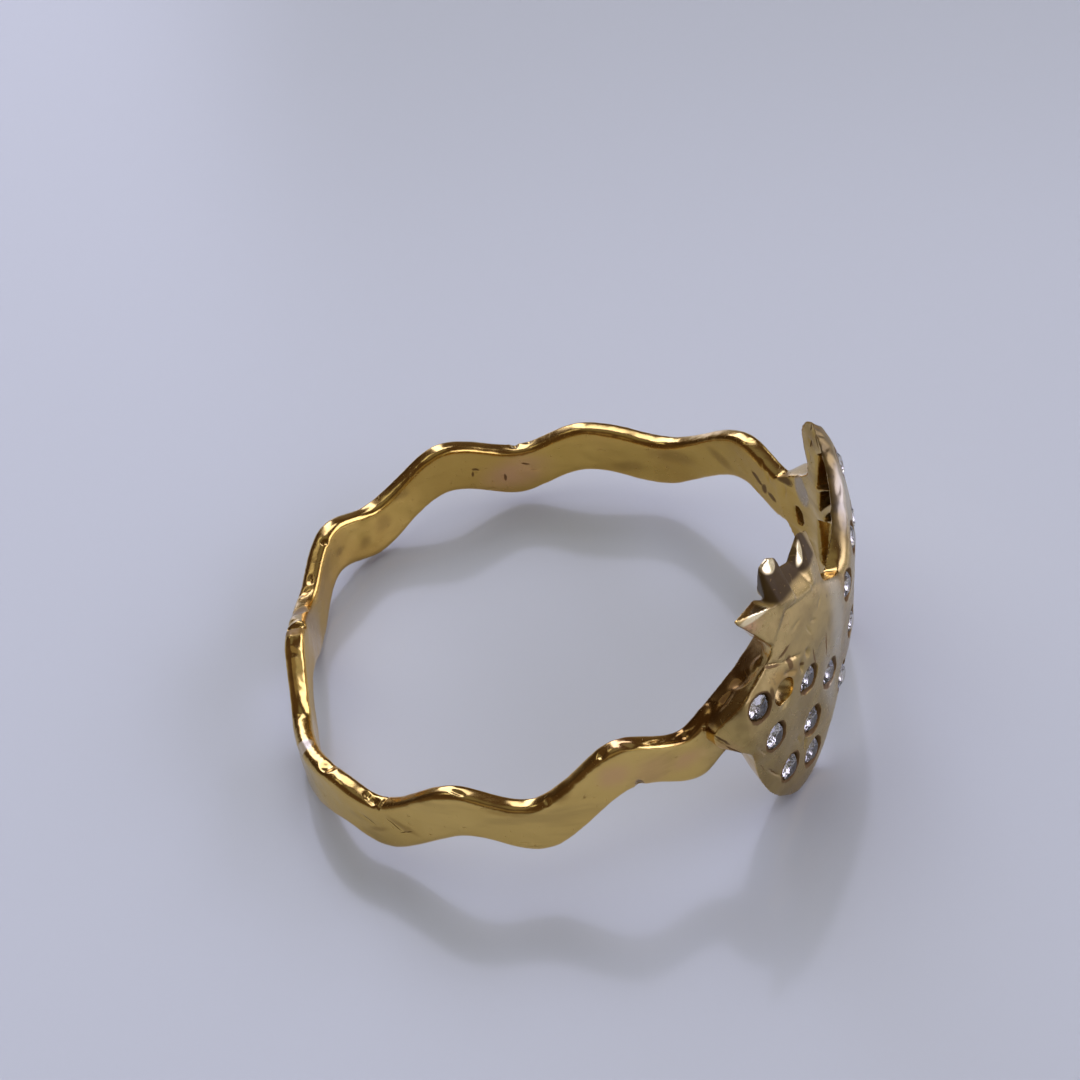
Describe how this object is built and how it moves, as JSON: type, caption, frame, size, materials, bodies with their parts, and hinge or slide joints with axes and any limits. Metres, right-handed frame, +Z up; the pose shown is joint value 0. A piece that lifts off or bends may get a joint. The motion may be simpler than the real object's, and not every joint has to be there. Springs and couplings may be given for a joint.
{
  "type": "ring",
  "caption": "Gold finger ring with a wavy strip band and a domed, spiked head with a lobed outline, set with small round stones.",
  "frame": {"origin": "middle of the bounding box on the floor, with the ring as it lies", "axes": "+Z up from the floor, with the finger's axis 6.3 degrees off it; +X from the back of the band towards the set head, +Y across"},
  "size_m": [0.0182, 0.0184, 0.0092],
  "materials": {
    "gold": "polished yellow gold, worn, with fine scratches, darker in the recesses",
    "clear_stone": "cut and polished clear stone, greyish"
  },
  "bodies": {
    "root": {"ring_body": "gold", "stone_1": "clear_stone", "stone_2": "clear_stone", "stone_3": "clear_stone", "stone_4": "clear_stone", "stone_5": "clear_stone", "stone_6": "clear_stone", "stone_7": "clear_stone", "stone_8": "clear_stone", "stone_9": "clear_stone", "stone_10": "clear_stone", "stone_11": "clear_stone", "stone_12": "clear_stone", "stone_13": "clear_stone", "stone_14": "clear_stone", "stone_15": "clear_stone", "stone_16": "clear_stone", "stone_17": "clear_stone", "stone_18": "clear_stone"}
  },
  "joints": []
}
